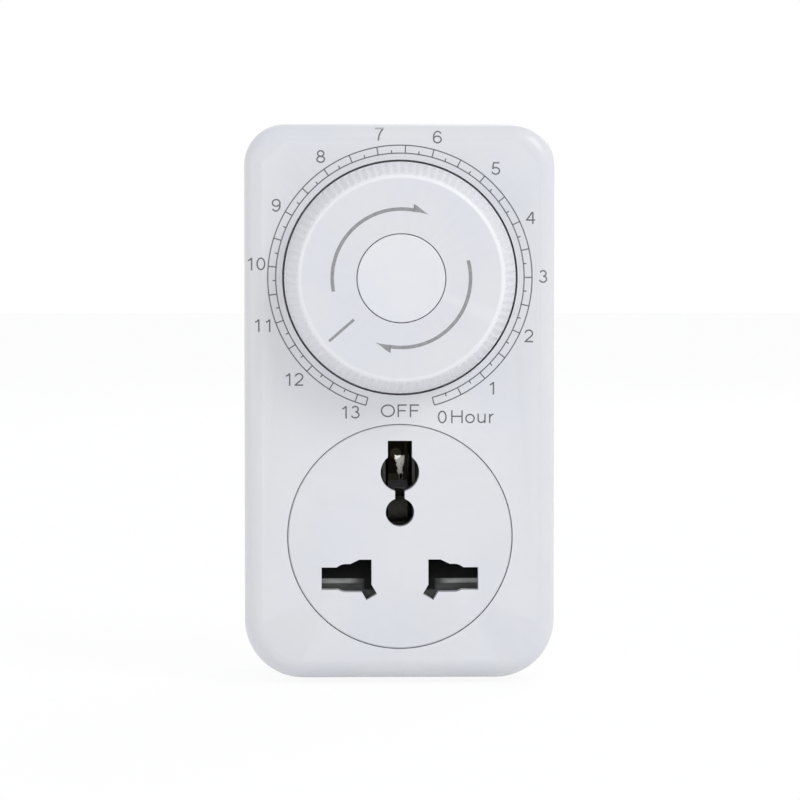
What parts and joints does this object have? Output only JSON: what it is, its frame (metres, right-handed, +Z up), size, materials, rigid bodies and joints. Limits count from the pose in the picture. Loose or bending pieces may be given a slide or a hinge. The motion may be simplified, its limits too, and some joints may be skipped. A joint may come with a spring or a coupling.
{
  "type": "plug in timer switch",
  "caption": "White plug in countdown timer switch with a large ribbed dial knob, a round outlet face with shuttered apertures and plug pins on the back.",
  "frame": {"origin": "on the flat rear face, midway between the line and neutral pins", "axes": "+Y towards the wall along the pins, +Z up along the long side, +X to the right seen from the front"},
  "size_m": [0.0592, 0.0657, 0.1057],
  "materials": {
    "white_shell": "satin",
    "white_knob": "satin",
    "black_plastic": "matte",
    "dark_shutter": "matte",
    "grey_plastic": "matte",
    "acetal": "satin",
    "brass": "bright",
    "pin_brass": "polished",
    "plated_brass": "nickel plated",
    "steel": "zinc plated",
    "copper_coil": "enamelled copper",
    "magnet": "sintered",
    "fuse_ceramic": "matte",
    "lead_insulation": "matte",
    "lead_insulation_brown": "matte"
  },
  "bodies": {
    "case": {"front_cover": "white_shell", "rear_cover": "white_shell", "case_screws": "steel", "movement_front_plate": "steel", "movement_rear_plate": "steel", "movement_pillars": "brass", "movement_screws": "steel", "intermediate_arbor": "steel", "motor_can": "steel", "motor_rivets": "steel", "motor_lid": "steel", "motor_bearing_plate": "grey_plastic", "coil_bobbin": "acetal", "motor_coil": "copper_coil", "stator_poles": "steel", "switch_body": "black_plastic", "switch_cover": "black_plastic", "switch_rivets": "steel", "switch_common_terminal": "brass", "switch_output_terminal": "brass", "outlet_face": "white_shell", "contact_carrier": "black_plastic", "carrier_screws": "steel", "line_contact": "brass", "neutral_contact": "brass", "earth_contact": "plated_brass", "line_pin": "pin_brass", "neutral_pin": "pin_brass", "earth_pin": "pin_brass", "line_pin_sleeve": "black_plastic", "neutral_pin_sleeve": "black_plastic", "contact_rivets": "brass", "pin_clamp": "grey_plastic", "clamp_screws": "steel", "line_inlet_bar": "brass", "neutral_bar": "brass", "earth_bar": "brass", "switch_feed_bar": "brass", "switch_output_bar": "brass", "motor_neutral_lead": "lead_insulation", "motor_line_lead": "lead_insulation_brown"},
    "main_wheel": {"main_wheel": "acetal"},
    "dial": {"dial_knob": "white_knob", "knob_cap": "white_knob", "knob_screw": "steel", "spindle": "acetal", "switch_cam": "acetal", "clutch_spring": "steel"},
    "intermediate_wheel": {"intermediate_wheel": "acetal"},
    "motor_pinion": {"motor_pinion": "steel"},
    "rotor": {"rotor_magnet": "magnet", "rotor_shaft": "steel"},
    "lever": {"switch_lever": "steel"},
    "plunger": {"switch_plunger": "acetal"},
    "shutter": {"outlet_shutter": "dark_shutter", "shutter_spring": "steel"},
    "fuse_holder": {"fuse_carrier": "black_plastic", "fuse_body": "fuse_ceramic", "fuse_caps": "plated_brass"}
  },
  "joints": [
    {"name": "timer_run", "type": "hinge", "parent": "case", "child": "main_wheel", "pos_m": [0, 0, 0.05738], "axis": [0, 1, 0], "continuous": true},
    {"name": "dial_set", "type": "hinge", "parent": "main_wheel", "child": "dial", "pos_m": [0, 0, 0.05738], "axis": [0, 1, 0], "continuous": true},
    {"name": "intermediate_turn", "type": "hinge", "parent": "case", "child": "intermediate_wheel", "pos_m": [0.00884, 0, 0.06622], "axis": [0, 1, 0], "continuous": true},
    {"name": "motor_output_turn", "type": "hinge", "parent": "case", "child": "motor_pinion", "pos_m": [-0.00249, 0, 0.06422], "axis": [0, 1, 0], "continuous": true},
    {"name": "rotor_spin", "type": "hinge", "parent": "case", "child": "rotor", "pos_m": [-0.00249, 0, 0.06422], "axis": [0, 1, 0], "continuous": true},
    {"name": "lever_press", "type": "hinge", "parent": "case", "child": "lever", "pos_m": [-0.008, 0, 0.04468], "axis": [0, 1, 0], "range_deg": [0, 4]},
    {"name": "plunger_press", "type": "slide", "parent": "case", "child": "plunger", "axis": [0, 0, -1], "range_m": [0, 0.000314], "stiffness_N_per_m": 980, "springref_m": -0.0007},
    {"name": "shutter_slide", "type": "slide", "parent": "case", "child": "shutter", "axis": [0, 0, -1], "range_m": [0, 0.0077], "stiffness_N_per_m": 60, "springref_m": -0.003, "deforming": ["shutter_spring"]},
    {"name": "fuse_pull", "type": "slide", "parent": "case", "child": "fuse_holder", "axis": [0, 1, 0], "range_m": [0, 0.012]}
  ],
  "couplings": [
    {"joint": "intermediate_turn", "follows": "timer_run", "ratio": -4},
    {"joint": "motor_output_turn", "follows": "timer_run", "ratio": 14.4},
    {"joint": "lever_press", "follows": "plunger_press", "rad_per_m": 222.22}
  ]
}
